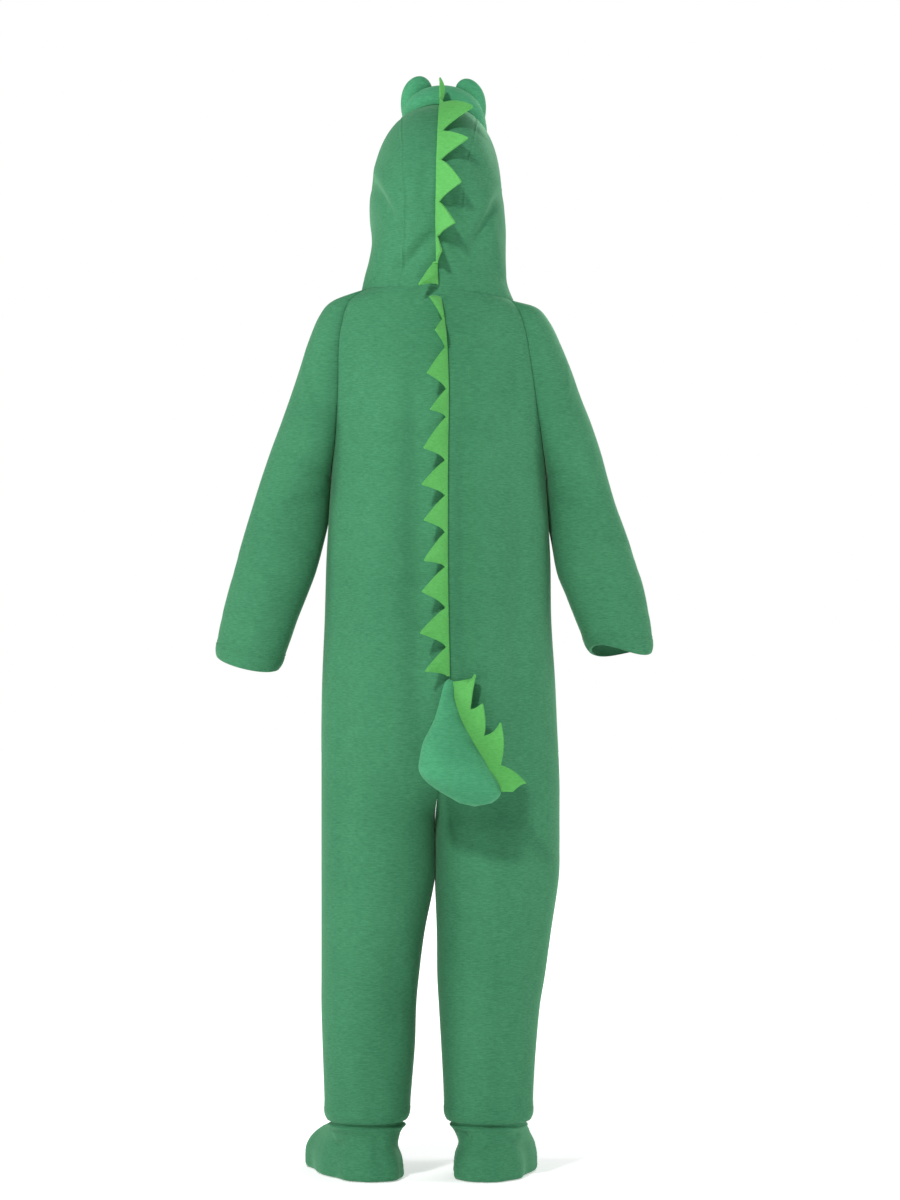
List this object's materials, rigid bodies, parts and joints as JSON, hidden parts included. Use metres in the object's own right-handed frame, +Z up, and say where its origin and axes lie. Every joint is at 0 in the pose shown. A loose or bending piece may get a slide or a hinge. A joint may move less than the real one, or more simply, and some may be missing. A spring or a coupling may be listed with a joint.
{
  "type": "hooded crocodile costume jumpsuit",
  "caption": "Child's green fleece crocodile suit with a hood, padded brow and eyes, felt spine spikes, a stuffed tail and loose boot covers.",
  "frame": {"origin": "middle of the neck, level with the neck seam at the back", "axes": "+Z up, +Y towards the back of the costume, +X towards the wearer's left"},
  "size_m": [0.5275, 0.3473, 1.3283],
  "materials": {
    "fleece_green": "brushed polyester fleece, matt, fine nap",
    "fleece_padded": "the same fleece over soft stuffing",
    "felt_lime": "matt lime green felt with cut edges"
  },
  "bodies": {
    "root": {"back_left": "fleece_green", "back_right": "fleece_green", "front_left": "fleece_green", "front_right": "fleece_green", "front_leg_left": "fleece_green", "front_leg_right": "fleece_green", "sleeve_left": "fleece_green", "sleeve_right": "fleece_green", "hood_crown_left": "fleece_green", "hood_crown_right": "fleece_green", "hood_side_left": "fleece_green", "hood_side_right": "fleece_green", "boot_left_outer": "fleece_green", "boot_left_inner": "fleece_green", "boot_right_outer": "fleece_green", "boot_right_inner": "fleece_green", "brow": "fleece_padded", "eye_left": "fleece_padded", "eye_right": "fleece_padded", "tail": "fleece_padded", "spikes_hood": "felt_lime", "spikes_back": "felt_lime", "spikes_tail": "felt_lime"}
  },
  "joints": []
}
